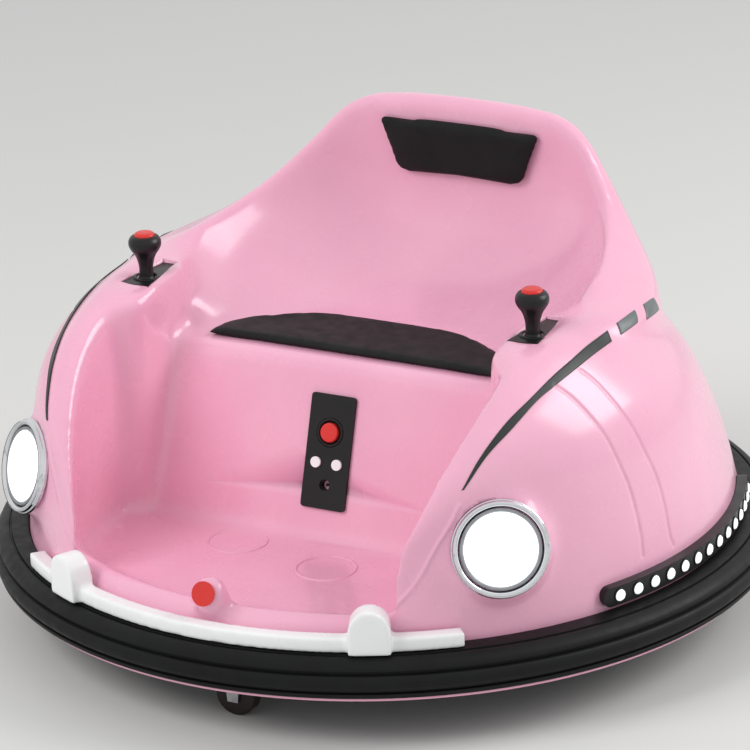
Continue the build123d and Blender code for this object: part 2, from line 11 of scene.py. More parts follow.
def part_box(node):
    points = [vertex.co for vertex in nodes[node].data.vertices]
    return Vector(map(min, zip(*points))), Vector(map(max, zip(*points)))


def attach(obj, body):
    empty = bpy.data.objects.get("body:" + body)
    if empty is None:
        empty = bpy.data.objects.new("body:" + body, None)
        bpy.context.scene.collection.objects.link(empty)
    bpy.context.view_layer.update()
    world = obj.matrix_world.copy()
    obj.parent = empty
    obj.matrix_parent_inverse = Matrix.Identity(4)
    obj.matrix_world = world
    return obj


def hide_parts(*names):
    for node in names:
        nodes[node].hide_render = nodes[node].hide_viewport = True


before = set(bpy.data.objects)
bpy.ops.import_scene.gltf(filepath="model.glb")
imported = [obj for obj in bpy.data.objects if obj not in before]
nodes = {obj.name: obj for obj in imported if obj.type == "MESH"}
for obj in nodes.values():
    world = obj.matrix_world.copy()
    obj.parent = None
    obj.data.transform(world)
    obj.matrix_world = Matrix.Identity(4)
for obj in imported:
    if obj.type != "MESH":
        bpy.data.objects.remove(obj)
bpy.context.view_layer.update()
mm = 0.001
upwards = Vector((0, 0, 1))
sides = ((1, "left"), (-1, "right"))

# The camera, as fitted to the photograph: the image is 750 x 750 pixels
camera_azimuth = radians(29.1)
camera_elevation = radians(20.57)
camera_roll = radians(-2.14)
camera_distance = 3.894
camera_target = Vector((-0.01287, 0.01253, 0.19536))
image_size = 750
focal_pixels = 4403.3

# From here on, sizes are in millimetres and angles in degrees, unless a comment says otherwise.
# The moulded body; the smoothing counts passes, and the thinning is the share of faces kept
body_voxel = 3.0
body_smoothing = 90
body_thinning = 0.5
body_fold = 50
body_bottom = 46.0
space_bottom = 38.0
shell_wall = 4.0
least_wall = 2.2
walled_above = 60
caster_notch_top = 55.8
seat_step_y = -44.0
seat_step_x = (150, 172.5)
seat_step_z = (233.9, 264)
merge_distance = 0.005

# Head lamps; a place is on the left, and the right one is its mirror image
lamp_place = (232.5, -227.3, 162.3)
lamp_azimuth = 35.0
lamp_tilt = 15.0
bezel_radius = 41.5
bezel_depth = 6.0
lens_radius = 34.5
lamp_neck_radius = 38.0
lamp_neck_depth = 11.5
lamp_hole_depth = 30
lamp_room = 0.4

# Joysticks and their plates; the plate's room is the scale of the cut made for it
plate_outline = ((175.5, -96.5), (203.5, -96.0), (196.0, -36.0), (182.5, -36.0))
plate_bottom = 289.0
plate_middle_y = -68.0
plate_room = (1.03, 1.015, 1, 1)
plate_cut_height = 30
stick_x = 189.4
stick_y = -75.8
stick_hole_low = 279.5
stick_hole_radius = 10.3
stick_bore_radius = 10.5
stick_bore_middle = 285
stick_bore_depth = 44

# Rubber ring, front bar, over-riders and the pan's edge
ring_inner = 317.3
ring_bottom = 46.3
ring_top = 82.3
bar_gap = 0.4
bar_back_gap = 0.2
bar_depth = 14.5
bar_height = 13.0
bar_end_angle = 39.6
bar_voxel = 1.7
bar_smoothing = 9
over_rider_angle = 26.04
over_rider_half = 17.0
over_rider_height = 39.0
over_rider_depth = 21.5
pan_edge_radius = 340.5
pan_edge_low = 43.4
pan_edge_high = 46.1

# The strips of small lights
strip_radius = 320.5
strip_z = 94.0
led_count = 14
led_first_angle = 66
led_spacing = 3.65
led_radius = 5.2
led_sink = 0.2

# The control panel: the direction that it faces, and its socket and red button, in metres
panel_lean = Vector((0, -0.9531, 0.3027))
socket_place = Vector((0, -0.1043, 0.13608))
power_seat = Vector((0, -0.09278, 0.18066))
socket_hole_radius = 5.3
socket_hole_depth = 12
socket_bore_radius = 5.0
socket_bore_depth = 40

# The pads; the swelling takes this many frames
pad_voxel = 2.6
pad_smoothing = 4
pad_shrink = 1.2
pad_pressure = 4.0
pad_lean = 0.25
cloth_frames = 20

# Foot floor, with the place and radius of each ring
foot_floor = 90
floor_rings = ((-64.8, -150.0, 26.0), (35.0, -172.0, 26.0))

# Lines on the left side of the body; the right side has their mirror images
film_lift = 0.45
film_thickness = 0.8
crease_depth = 1.3
hood_ridge = 1.1
crease_width = 1.7
crease_reach = 5.0
crease_points = 240
stripe_upper = ((199.6, -231.3, 210.6), (208.7, -212.8, 235.7), (217.3, -184.3, 255.4),
                (224.6, -153.5, 267.1), (229.4, -120.9, 276.3), (233.9, -91.3, 283.0),
                (235.0, -62.2, 285.9), (238.6, -30.0, 289.2))
stripe_lower = ((201.1, -229.8, 211.1), (212.4, -208.9, 234.9), (222.1, -183.0, 250.3),
                (228.9, -150.9, 264.0), (235.4, -125.8, 271.7), (239.6, -95.5, 276.2),
                (241.6, -68.3, 278.9), (242.4, -34.2, 279.4))
dashes = ((((239.3, -15.1, 290.8), (239.7, 18.3, 290.7)),
           ((243.4, -18.4, 280.0), (247.3, 10.1, 282.6))),
          (((240.3, 35.5, 290.6), (239.2, 60.3, 288.5)),
           ((246.8, 27.1, 279.2), (238.8, 67.9, 273.7))))
creases = (((241.8, -92.4, 274.6), (254.0, -86.9, 262.7), (266.9, -83.0, 246.8),
            (279.6, -76.8, 225.6), (288.4, -70.2, 201.6), (295.3, -61.7, 175.7),
            (300.9, -58.1, 149.2), (305.1, -57.6, 123.7), (307.1, -54.1, 111.5)),
           ((235.8, -126.5, 271.1), (247.8, -120.7, 259.9), (261.7, -115.5, 243.1),
            (271.8, -109.9, 226.2), (280.2, -104.5, 203.7), (286.9, -97.8, 178.5),
            (291.6, -94.7, 156.0), (295.4, -93.5, 134.0), (297.4, -94.1, 116.0)))
hood_lines = (((198.5, -234.5, 198.0), (192.6, -240.0, 183.2), (183.1, -248.7, 163.7),
               (170.6, -259.4, 136.0), (155.0, -269.9, 114.6)),)


def linear(colour):
    """A six-digit sRGB hex colour as linear red, green, blue and alpha."""
    channels = [int(colour[i:i + 2], 16) / 255 for i in (0, 2, 4)]
    return tuple(c / 12.92 if c <= 0.04045 else ((c + 0.055) / 1.055) ** 2.4
                 for c in channels) + (1.0,)


def add_node(tree, kind, settings=None, inputs=None):
    """Add a node with its settings; an input is a value, or an output socket to link."""
    node = tree.nodes.new(kind)
    for name, value in (settings or {}).items():
        setattr(node, name, value)
    for name, value in (inputs or {}).items():
        if isinstance(value, bpy.types.NodeSocket):
            tree.links.new(value, node.inputs[name])
        else:
            node.inputs[name].default_value = value
    return node


def new_material(name, values):
    """A material with a Principled shader that has these values on its sockets."""
    material = bpy.data.materials.new(name)
    material.use_nodes = True
    shader = material.node_tree.nodes["Principled BSDF"]
    for socket, value in values.items():
        shader.inputs[socket].default_value = value
    return material


def patches(tree, size_mm, detail=2.0):
    """A cloudy pattern over the piece, whose patches are about this many millimetres across."""
    place = add_node(tree, "ShaderNodeTexCoord")
    return add_node(tree, "ShaderNodeTexNoise", inputs={
        "Vector": place.outputs["Object"], "Scale": 1 / (size_mm * mm), "Detail": detail})


def drift(tree, pattern, dark, light):
    """A colour that drifts from a dark to a light hex colour with a cloudy pattern."""
    node = add_node(tree, "ShaderNodeValToRGB", inputs={"Fac": pattern.outputs["Fac"]})
    for element, position, colour in zip(node.color_ramp.elements, (0.35, 0.65), (dark, light)):
        element.position = position
        element.color = linear(colour)
    return node.outputs["Color"]


def finish_surface(material, colour_patches, light, dark, gloss_patches, gloss, grain, strength,
                   height):
    """Drifting colour and gloss over a grain, whose bumps have a strength and a height in mm."""
    tree = material.node_tree
    shader = tree.nodes["Principled BSDF"]
    tree.links.new(drift(tree, colour_patches, dark, light), shader.inputs["Base Color"])
    rough = add_node(tree, "ShaderNodeMapRange", inputs={
        "Value": gloss_patches.outputs["Fac"], "From Min": 0.3, "From Max": 0.7,
        "To Min": gloss[0], "To Max": gloss[1]})
    tree.links.new(rough.outputs["Result"], shader.inputs["Roughness"])
    bump = add_node(tree, "ShaderNodeBump", inputs={
        "Height": grain.outputs["Fac"], "Strength": strength, "Distance": height * mm})
    tree.links.new(bump.outputs["Normal"], shader.inputs["Normal"])


def moulded_plastic(name, light, dark, gloss, orange_peel_mm=9.0, coat=0.0, shine=0.5):
    """Moulded plastic: even colour, a soft orange peel, slightly uneven gloss."""
    material = new_material(name, {"IOR": 1.5, "Specular IOR Level": shine, "Coat Weight": coat,
                                   "Coat Roughness": 0.14})
    tree = material.node_tree
    finish_surface(material, patches(tree, 90.0), light, dark, patches(tree, 25.0), gloss,
                   patches(tree, orange_peel_mm, 0.0), 0.025, 0.3)
    return material


def grained(name, light, dark, gloss, grain_mm, grain_height, shine=0.3):
    """Rubber, foam skin or nylon with a fine moulded grain."""
    material = new_material(name, {"IOR": 1.5, "Specular IOR Level": shine})
    tree = material.node_tree
    finish_surface(material, patches(tree, 40.0), light, dark, patches(tree, 12.0), gloss,
                   patches(tree, grain_mm, 3.0), 0.35, grain_height)
    return material


def plated_metal(name, light, dark, gloss, cloud_mm, grain_mm):
    """Plated metal: gloss that clouds a little from place to place, over a faint grain."""
    material = new_material(name, {"Metallic": 1.0})
    tree = material.node_tree
    finish_surface(material, patches(tree, cloud_mm), light, dark, patches(tree, cloud_mm / 2),
                   gloss, patches(tree, grain_mm), 0.06, 0.05)
    return material


def glowing(name, light, dark, strength, cloud_mm):
    """A lit lens: its glow drifts a little between two whites under a soft orange peel."""
    material = new_material(name, {"Emission Strength": strength, "IOR": 1.49,
                                   "Coat Weight": 0.4})
    tree = material.node_tree
    clouds = patches(tree, cloud_mm)
    finish_surface(material, clouds, light, dark, clouds, (0.12, 0.2), patches(tree, 2.5),
                   0.1, 0.1)
    tree.links.new(drift(tree, clouds, dark, light),
                   tree.nodes["Principled BSDF"].inputs["Emission Color"])
    return material


def assign(material, *names):
    """Give CAD nodes a material."""
    for name in names:
        mesh = nodes[name].data
        mesh.materials.clear()
        mesh.materials.append(material)


def finish_piece(name, mesh, material, body="car_body", replaces=None, fold=None):
    """Link a mesh as an object that rides on a body; edges sharper than the fold stay crisp."""
    mesh.name = name
    piece = bpy.data.objects.new(name, mesh)
    bpy.context.scene.collection.objects.link(piece)
    mesh.materials.clear()
    mesh.materials.append(material)
    mesh.shade_smooth()
    if fold:
        mesh.set_sharp_from_angle(angle=radians(fold))
    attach(piece, body)
    if replaces:
        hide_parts(replaces)
    return piece


def mesh_of(b):
    """The mesh of a bmesh, which is freed; its faces are turned to point outwards."""
    bmesh.ops.recalc_face_normals(b, faces=b.faces)
    mesh = bpy.data.meshes.new("piece")
    b.to_mesh(mesh)
    b.free()
    return mesh


def add_to(b, part):
    """Add a bmesh, which is freed, to another one."""
    mesh = mesh_of(part)
    b.from_mesh(mesh)
    bpy.data.meshes.remove(mesh)


def with_modifiers(mesh, *modifiers):
    """A mesh with modifiers applied; each is a kind and its settings."""
    holder = bpy.data.objects.new("holder", mesh)
    bpy.context.scene.collection.objects.link(holder)
    for kind, settings in modifiers:
        modifier = holder.modifiers.new(kind, kind)
        for setting, value in settings.items():
            setattr(modifier, setting, value)
    bpy.context.view_layer.update()
    finished = holder.evaluated_get(bpy.context.evaluated_depsgraph_get())
    result = bpy.data.meshes.new_from_object(finished)
    bpy.data.objects.remove(holder)
    return result


def softened(mesh, voxel, smoothing, *more):
    """A mesh remeshed at a voxel size in millimetres and smoothed by a number of passes."""
    return with_modifiers(mesh, ("REMESH", {"mode": "VOXEL", "voxel_size": voxel * mm}),
                          ("SMOOTH", {"iterations": smoothing, "factor": 0.5}), *more)


def axis_matrix(centre, direction):
    """Places a shape made about the Z axis at a point in metres, along a direction."""
    turn = upwards.rotation_difference(Vector(direction)).to_matrix().to_4x4()
    return Matrix.Translation(Vector(centre)) @ turn


def disc(b, centre, normal, radius, depth, segments=64):
    """A short closed cylinder centred on a point in metres; radius and depth are in mm."""
    bmesh.ops.create_cone(b, cap_ends=True, segments=segments, radius1=radius * mm,
                          radius2=radius * mm, depth=depth * mm,
                          matrix=axis_matrix(centre, normal))


def lathe(b, profile, centre=(0, 0, 0), direction=upwards, segments=64):
    """Spin a profile of (radius, height) in millimetres about an axis through a point."""
    start = [b.verts.new((radius * mm, 0, height * mm)) for radius, height in profile]
    edges = [b.edges.new(pair) for pair in zip(start, start[1:])]
    if (profile[0][0], profile[-1][0]) != (0, 0):
        edges.append(b.edges.new((start[-1], start[0])))
    bmesh.ops.spin(b, geom=start + edges, cent=(0, 0, 0), axis=(0, 0, 1), dvec=(0, 0, 0),
                   angle=tau, steps=segments, use_merge=True)
    new = [v for v in b.verts if v.tag is False]
    bmesh.ops.transform(b, matrix=axis_matrix(centre, direction), verts=new)
    for v in new:
        v.tag = True
    bmesh.ops.remove_doubles(b, verts=b.verts, dist=0.002 * mm)


def turned(profile, centre=(0, 0, 0), direction=upwards, segments=64):
    """The mesh of one profile spun about its axis."""
    b = bmesh.new()
    lathe(b, profile, centre, direction, segments)
    return mesh_of(b)


def rounded(profile, corners, steps=5):
    """A profile whose listed corners are rounded: corners maps an index to a radius in mm."""
    result = []
    for i, point in enumerate(profile):
        here = Vector(point)
        if i not in corners:
            result.append(tuple(here))
            continue
        before = Vector(profile[i - 1]) - here
        after = Vector(profile[(i + 1) % len(profile)]) - here
        first = here + before.normalized() * corners[i]
        last = here + after.normalized() * corners[i]
        for step in range(steps + 1):
            t = step / steps
            result.append(tuple(first * (1 - t) ** 2 + here * 2 * t * (1 - t) + last * t ** 2))
    return result


def along(points, count):
    """Points spread evenly in number along a smooth line through the given ones."""
    line = [Vector(p) for p in points]
    line = [2 * line[0] - line[1]] + line + [2 * line[-1] - line[-2]]
    spans = len(points) - 1
    result = []
    for step in range(count):
        place = min(step / (count - 1) * spans, spans - 1e-6)
        i = int(place)
        t = place - i
        a, p, q, d = line[i:i + 4]
        result.append(0.5 * (2 * p + (q - a) * t + (2 * a - 5 * p + 4 * q - d) * t ** 2
                             + (3 * p - a - 3 * q + d) * t ** 3))
    return result


def mirrored(point, side):
    """A point on the left side, or its mirror image where side is -1."""
    return Vector((side * point[0], point[1], point[2]))


def lamp_axis(side):
    """The direction that a head lamp faces; side is 1 on the left and -1 on the right."""
    flat = cos(radians(lamp_tilt))
    return Vector((side * sin(radians(lamp_azimuth)) * flat,
                   -cos(radians(lamp_azimuth)) * flat, sin(radians(lamp_tilt))))


# The middle of each lens's back face, in metres
lamp_seats = {side: mirrored(lamp_place, side) * mm - lamp_axis(side) * bezel_depth * mm
              for side in (1, -1)}


def within(points, centre, axis, radius, low, high):
    """True where all points lie in a cylinder about an axis; its sizes are in millimetres."""
    for point in points:
        height = (point - centre).dot(axis)
        outside = (point - centre).cross(axis).length > radius * mm
        if outside or not low * mm < height < high * mm:
            return False
    return True


def on_seat_step(points):
    """True on the small step between a pod and the seat, where the shell is open."""
    return all(abs(p.y - seat_step_y * mm) < 0.05 * mm
               and seat_step_x[0] * mm < abs(p.x) < seat_step_x[1] * mm
               and seat_step_z[0] * mm < p.z < seat_step_z[1] * mm for p in points)


def at_foot(height):
    """True for a height in metres that is on the shell's foot or its notches for the casters."""
    return height < (caster_notch_top + 0.3) * mm


def links_sides(face):
    """True for faces that join the shell's outer side to its inner one: the foot and the holes."""
    points = [v.co for v in face.verts]
    if face.normal.y > 0.9 and on_seat_step(points):
        return True
    if at_foot(max(p.z for p in points)):
        return True
    side = 1 if points[0].x > 0 else -1
    stick = Vector((side * stick_x * mm, stick_y * mm, 0))
    return (within(points, stick, upwards, stick_hole_radius, stick_hole_low, plate_bottom + 0.1)
            or within(points, lamp_seats[side], lamp_axis(side), lamp_neck_radius + 0.6,
                      -lamp_hole_depth, 0.2)
            or within(points, socket_place, panel_lean, socket_hole_radius, -socket_hole_depth,
                      socket_hole_depth))


def sees_out(tree, face, looks):
    """True where a straight line from the face reaches the air above or beside the body."""
    start = face.calc_center_median() + face.normal * 0.3 * mm
    return any(face.normal.dot(look) > -0.01 and tree.ray_cast(start, look)[0] is None
               for look in looks)


def flood(start, stops):
    """The faces joined to a first one, without crossing a face where stops(face) is true."""
    waiting, found = [start], {start}
    while waiting:
        for edge in waiting.pop().edges:
            for face in edge.link_faces:
                if face not in found and not stops(face):
                    found.add(face)
                    waiting.append(face)
    return found


def split_shell():
    """The shell's closed outer form and its closed inner space, as two bmeshes."""
    outer, space = bmesh.new(), bmesh.new()
    outer.from_mesh(nodes["body_shell"].data)
    bmesh.ops.remove_doubles(outer, verts=outer.verts, dist=merge_distance * mm)
    outer.faces.ensure_lookup_table()
    link = {face for face in outer.faces if links_sides(face)}
    tree = BVHTree.FromBMesh(outer)
    looks = [upwards] + [
        Vector((cos(radians(turn)), sin(radians(turn)), rise)).normalized()
        for rise in (0, 0.36) for turn in range(0, 360, 45)]
    under_seat, over_seat = Vector((0.001, 0.02, 0.06)), Vector((0.001, 0.02, 0.6))
    below = outer.faces[tree.ray_cast(under_seat, upwards)[2]]
    above = outer.faces[tree.ray_cast(over_seat, -upwards)[2]]
    inner = flood(below, lambda face: face in link or sees_out(tree, face, looks))
    seen = flood(above, lambda face: face in link or face in inner)
    for face in outer.faces:
        face.material_index = 2 if face in link else 0 if face in seen else 1
    mesh = bpy.data.meshes.new("split")
    outer.to_mesh(mesh)
    space.from_mesh(mesh)
    bpy.data.meshes.remove(mesh)
    for b, wanted, foot in ((outer, 0, body_bottom), (space, 1, space_bottom)):
        others = [f for f in b.faces if f.material_index != wanted]
        bmesh.ops.delete(b, geom=others, context="FACES")
        for v in b.verts:
            if at_foot(v.co.z):
                v.co.z = foot * mm
            elif wanted and on_seat_step([v.co]):
                v.co.y += shell_wall * mm
        bmesh.ops.remove_doubles(b, verts=b.verts, dist=merge_distance * mm)
        bmesh.ops.dissolve_degenerate(b, edges=b.edges, dist=0.001 * mm)
        bmesh.ops.holes_fill(b, edges=[e for e in b.edges if e.is_boundary], sides=0)
        bmesh.ops.recalc_face_normals(b, faces=b.faces)
    return outer, space


def plate_cut(side):
    """The prism that makes room for a joystick's plate, a little wider than the plate."""
    prism = bmesh.new()
    face = prism.faces.new([prism.verts.new((side * x * mm, y * mm, (plate_bottom - 0.1) * mm))
                            for x, y in plate_outline])
    middle = Vector((side * stick_x * mm, plate_middle_y * mm, 0))
    bmesh.ops.transform(prism, verts=prism.verts, matrix=Matrix.Translation(middle)
                        @ Matrix.Diagonal(plate_room) @ Matrix.Translation(-middle))
    top = bmesh.ops.extrude_face_region(prism, geom=[face])["geom"]
    bmesh.ops.translate(prism, vec=upwards * plate_cut_height * mm,
                        verts=[v for v in top if isinstance(v, bmesh.types.BMVert)])
    return prism


def cut_tool(space):
    """What is cut out of the soft body: its inner space and the seats of its small parts."""
    for side in (1, -1):
        disc(space, (side * stick_x * mm, stick_y * mm, stick_bore_middle * mm), upwards,
             stick_bore_radius, stick_bore_depth)
        for middle, radius, depth in ((-5, lamp_neck_radius, 24), (10, bezel_radius, 20)):
            disc(space, lamp_seats[side] + lamp_axis(side) * middle * mm, lamp_axis(side),
                 radius + lamp_room, depth)
        add_to(space, plate_cut(side))
    disc(space, socket_place, panel_lean, socket_bore_radius, socket_bore_depth, 32)
    return space


def press_creases(b):
    """Press the fenders' curved creases into the body, and raise the line beside the hood."""
    for lines, depth in ((creases, crease_depth), (hood_lines, -hood_ridge)):
        tree = BVHTree.FromBMesh(b)
        points = [tree.find_nearest(mirrored(p, side) * mm)[0]
                  for line in lines for side in (1, -1) for p in along(line, crease_points)]
        near = KDTree(len(points))
        for i, point in enumerate(points):
            near.insert(point, i)
        near.balance()
        band = [f for f in b.faces
                if near.find(f.calc_center_median())[2] < crease_reach * mm]
        bmesh.ops.subdivide_edges(b, edges=list({e for f in band for e in f.edges}), cuts=2,
                                  use_grid_fill=True)
        b.normal_update()
        for v in b.verts:
            distance = near.find(v.co)[2] / mm
            if distance < crease_reach:
                v.co -= v.normal * depth * mm * exp(-(distance / crease_width) ** 2)


def keep_walls(space, tree):
    """Push the inner space back where it comes too near the outer form, above the open foot."""
    def pushed(point):
        place, normal = tree.find_nearest(point)[:2]
        if point.z > walled_above * mm and (point - place).dot(normal) > -least_wall * mm:
            return place - normal * (least_wall + 0.1) * mm
        return None

    for _ in range(3):
        close = [e for e in space.edges if e.calc_length() > 5 * mm
                 and pushed((e.verts[0].co + e.verts[1].co) / 2)]
        bmesh.ops.subdivide_edges(space, edges=close, cuts=1)
        bmesh.ops.triangulate(space, faces=[f for f in space.faces if len(f.verts) > 3])
    for _ in range(3):
        for v in space.verts:
            v.co = pushed(v.co) or v.co


def make_body():
    """The moulded body: one shell whose edges are rolled soft, hollow and open below."""
    outer, space = split_shell()
    soft = softened(mesh_of(outer), body_voxel, body_smoothing,
                    ("DECIMATE", {"ratio": body_thinning}))
    b = bmesh.new()
    b.from_mesh(soft)
    press_creases(b)
    surface = BVHTree.FromBMesh(b)
    soft = mesh_of(b)
    keep_walls(space, surface)
    cutter = bpy.data.objects.new("cutter", mesh_of(cut_tool(space)))
    bpy.context.scene.collection.objects.link(cutter)
    hollow = with_modifiers(soft, ("BOOLEAN", {"operation": "DIFFERENCE", "solver": "MANIFOLD",
                                               "object": cutter}))
    bpy.data.objects.remove(cutter)
    finish_piece("moulded_body", hollow, pink_plastic,
                 replaces="body_shell", fold=body_fold)
    return surface


def decal(name, surface, corner_rows, columns, rows, material):
    """A thin sticker laid on the body between an upper and a lower line, on both sides."""
    for side, end in sides:
        b = bmesh.new()
        bmesh.ops.create_grid(b, x_segments=columns, y_segments=rows, size=0.5)
        upper, lower = (along(row, columns + 1) for row in corner_rows)
        for v in b.verts:
            column = round((v.co.x + 0.5) * columns)
            across = v.co.y + 0.5
            point = mirrored(lower[column].lerp(upper[column], across), side) * mm
            place, normal = surface.find_nearest(point)[:2]
            v.co = place + normal * film_lift * mm
        bmesh.ops.recalc_face_normals(b, faces=b.faces)
        bmesh.ops.solidify(b, geom=b.faces, thickness=film_thickness * mm)
        finish_piece(f"{name}_{end}", mesh_of(b), material)


def make_stripes(surface):
    """The dark stripe along each fender, and the two short dashes behind it."""
    decal("fender_stripe", surface, (stripe_upper, stripe_lower), 96, 6, stripe_vinyl)
    for number, corners in enumerate(dashes):
        decal(f"stripe_dash_{number + 1}", surface, corners, 10, 8, dash_vinyl)


def make_bumper():
    """The rubber ring: a stepped top, a round band between two grooves, and a lower lip."""
    r, z, top = ring_inner, ring_bottom, ring_top
    profile = [(r, z), (r + 21, z), (r + 27.5, z + 1), (r + 29.5, z + 4), (r + 29.6, z + 6),
               (r + 27.2, z + 6.6), (r + 27.2, z + 8.2), (r + 30.4, z + 9), (r + 32.2, z + 12),
               (r + 32.7, z + 15.5), (r + 32.2, z + 19), (r + 30.4, z + 22),
               (r + 26.6, z + 22.8), (r + 26.6, z + 24.4), (r + 28.2, z + 25.2),
               (r + 27.6, z + 28.5), (r + 24.5, z + 32), (r + 19.5, top - 1.4),
               (r + 17.2, top - 1.2), (r + 16.8, top - 2.4), (r + 15.2, top - 2.4),
               (r + 14.8, top - 0.4), (r + 12, top), (r, top)]
    soft = {2: 2.5, 3: 1.6, 4: 0.8, 7: 1.2, 8: 2, 9: 2.2, 10: 2, 11: 1.2, 14: 0.8, 15: 1.8,
            16: 2.6, 17: 0.9}
    finish_piece("rubber_bumper", turned(rounded(profile, soft, 3), segments=200), black_rubber,
                 replaces="bumper_ring", fold=40)


def arc_block(inner, outer, low, high, first, last, steps):
    """A block between two radii and two heights, over angles measured from the front."""
    b = bmesh.new()
    start = [b.verts.new((r * sin(radians(first)) * mm, -r * cos(radians(first)) * mm, z * mm))
             for r, z in ((inner, low), (outer, low), (outer, high), (inner, high))]
    face = b.faces.new(start)
    bmesh.ops.spin(b, geom=[face] + list(face.edges) + start, cent=(0, 0, 0), axis=(0, 0, 1),
                   dvec=(0, 0, 0), angle=radians(last - first), steps=steps)
    return b


def make_front_bar():
    """The white front bar and its over-riders: one moulding, remeshed and smoothed round."""
    low = ring_top + bar_gap
    shoulder = over_rider_height - over_rider_half
    half_turn = degrees(over_rider_half / ring_inner)
    blocks = [(bar_height, bar_depth, -bar_end_angle, bar_end_angle, 60)]
    whole = bmesh.new()
    for side in (-1, 1):
        angle = radians(side * over_rider_angle)
        blocks.append((shoulder, over_rider_depth, side * over_rider_angle - half_turn,
                       side * over_rider_angle + half_turn, 6))
        out = Vector((sin(angle), -cos(angle), 0))
        middle = out * (ring_inner + over_rider_depth / 2) * mm
        disc(whole, middle + Vector((0, 0, (low + shoulder) * mm)), out, over_rider_half,
             over_rider_depth, 48)
    for height, depth, first, last, steps in blocks:
        add_to(whole, arc_block(ring_inner + bar_back_gap, ring_inner + depth, low, low + height,
                                first, last, steps))
    finish_piece("white_front_bar", softened(mesh_of(whole), bar_voxel, bar_smoothing),
                 white_plastic, replaces="front_bar")


def make_pan_edge():
    """The pink edge of the pan, which just shows below the rubber ring."""
    inner = ring_inner + 4
    profile = [(inner, pan_edge_low), (pan_edge_radius, pan_edge_low),
               (pan_edge_radius, pan_edge_high), (inner, pan_edge_high)]
    finish_piece("pan_edge", turned(rounded(profile, {1: 1.0, 2: 1.0}, 3), segments=200),
                 pink_plastic, fold=40)


def make_lamps():
    """Head lamps: a chrome bezel with a lip, a grey inner ring, and a domed lit lens."""
    r, out = lens_radius, bezel_radius
    bezel = rounded([(r + 0.3, 0), (out, 0), (out, 2.6), (out - 1.2, 3.4), (out - 1.6, 6.4),
                     (out - 3.2, 7.4), (r + 1.6, 6.2), (r + 0.3, 3.5)],
                    {2: 1.0, 3: 0.5, 4: 1.6, 5: 1.6, 6: 1.2})
    neck = [(r + 1, -lamp_neck_depth), (lamp_neck_radius, -lamp_neck_depth),
            (lamp_neck_radius, 0.1), (r + 1, 0.1)]
    inner_ring = rounded([(r - 3.4, 1), (r, 1), (r, 4.6), (r - 1.4, 5.6), (r - 3.4, 4.8)],
                         {2: 0.8, 3: 0.8})
    edge = r - 3.2
    dome = [(edge * sin(radians(a)), 4.2 + 5.0 * cos(radians(a))) for a in range(90, 0, -10)]
    lens = [(0, 0.2), (edge, 0.2)] + dome + [(0, 9.2)]
    for side, end in sides:
        seat, axis = lamp_seats[side], lamp_axis(side)
        b = bmesh.new()
        lathe(b, bezel, seat, axis, 96)
        lathe(b, neck, seat, axis, 96)
        finish_piece("chrome_bezel_" + end, mesh_of(b), chrome,
                     replaces="headlight_bezel_" + end, fold=40)
        finish_piece("lamp_inner_ring_" + end, turned(inner_ring, seat, axis, 96), lamp_grey)
        finish_piece("lit_lens_" + end, turned(lens, seat, axis, 96), lit_lens,
                     replaces="headlight_lens_" + end, fold=40)


def make_led_domes():
    """The lights of each strip: small clear domes in a black collar."""
    r = led_radius
    dome = [(0, 0), (r, 0), (r - 0.4, 1.3), (r * 0.75, 2.4), (r * 0.4, 3.0), (0, 3.2)]
    collar = [(r + 0.1, 0), (r + 1.3, 0), (r + 1.1, 1.0), (r + 0.2, 1.1)]
    for side, end in sides:
        lights, collars = bmesh.new(), bmesh.new()
        for number in range(led_count):
            angle = radians(led_first_angle + led_spacing * number)
            out = Vector((side * sin(angle), -cos(angle), 0))
            place = out * (strip_radius - led_sink) * mm + Vector((0, 0, strip_z * mm))
            lathe(lights, dome, place, out, 20)
            lathe(collars, collar, place, out, 20)
        finish_piece("led_domes_" + end, mesh_of(lights), lit_led, replaces="led_lenses_" + end)
        finish_piece("led_collars_" + end, mesh_of(collars), black_plastic)


def make_sticks():
    """Joysticks: a ball in the plate, a waisted stem, a knob and a domed red button."""
    stem = rounded([(0, 279.6), (4.6, 281.0), (7.6, 284.4), (8.4, 288), (7.8, 291.2),
                    (6.3, 293.6), (6.1, 303), (8.6, 312.5), (13.4, 319.0), (14.6, 322.5),
                    (14.4, 326.5), (12.2, 330.0), (9.4, 330.9), (9.4, 329.5), (0, 329.5)],
                   {2: 1.6, 3: 2.0, 4: 1.4, 5: 1.2, 6: 4.0, 7: 4.0, 8: 2.4, 9: 1.6, 10: 1.6,
                    11: 1.5})
    button = rounded([(0, 329.6), (9.1, 329.6), (9.1, 332.0), (7.4, 333.6), (0, 334.0)],
                     {2: 1.0, 3: 1.6})
    collar = rounded([(8.9, 291.6), (12.0, 291.6), (12.0, 292.8), (10.6, 293.6), (9.1, 293.0)],
                     {2: 0.5, 3: 0.5})
    for side, end in sides:
        for name, profile, material, body, node in (
                ("stick_stem_", stem, black_plastic, "joystick_" + end, "joystick_stick_" + end),
                ("stick_cap_", button, red_plastic, "joystick_" + end, "joystick_button_" + end),
                ("stick_collar_", collar, black_plastic, "car_body", None)):
            mesh = turned(profile, (side * stick_x * mm, stick_y * mm, 0), segments=40)
            finish_piece(name + end, mesh, material, body, replaces=node, fold=45)


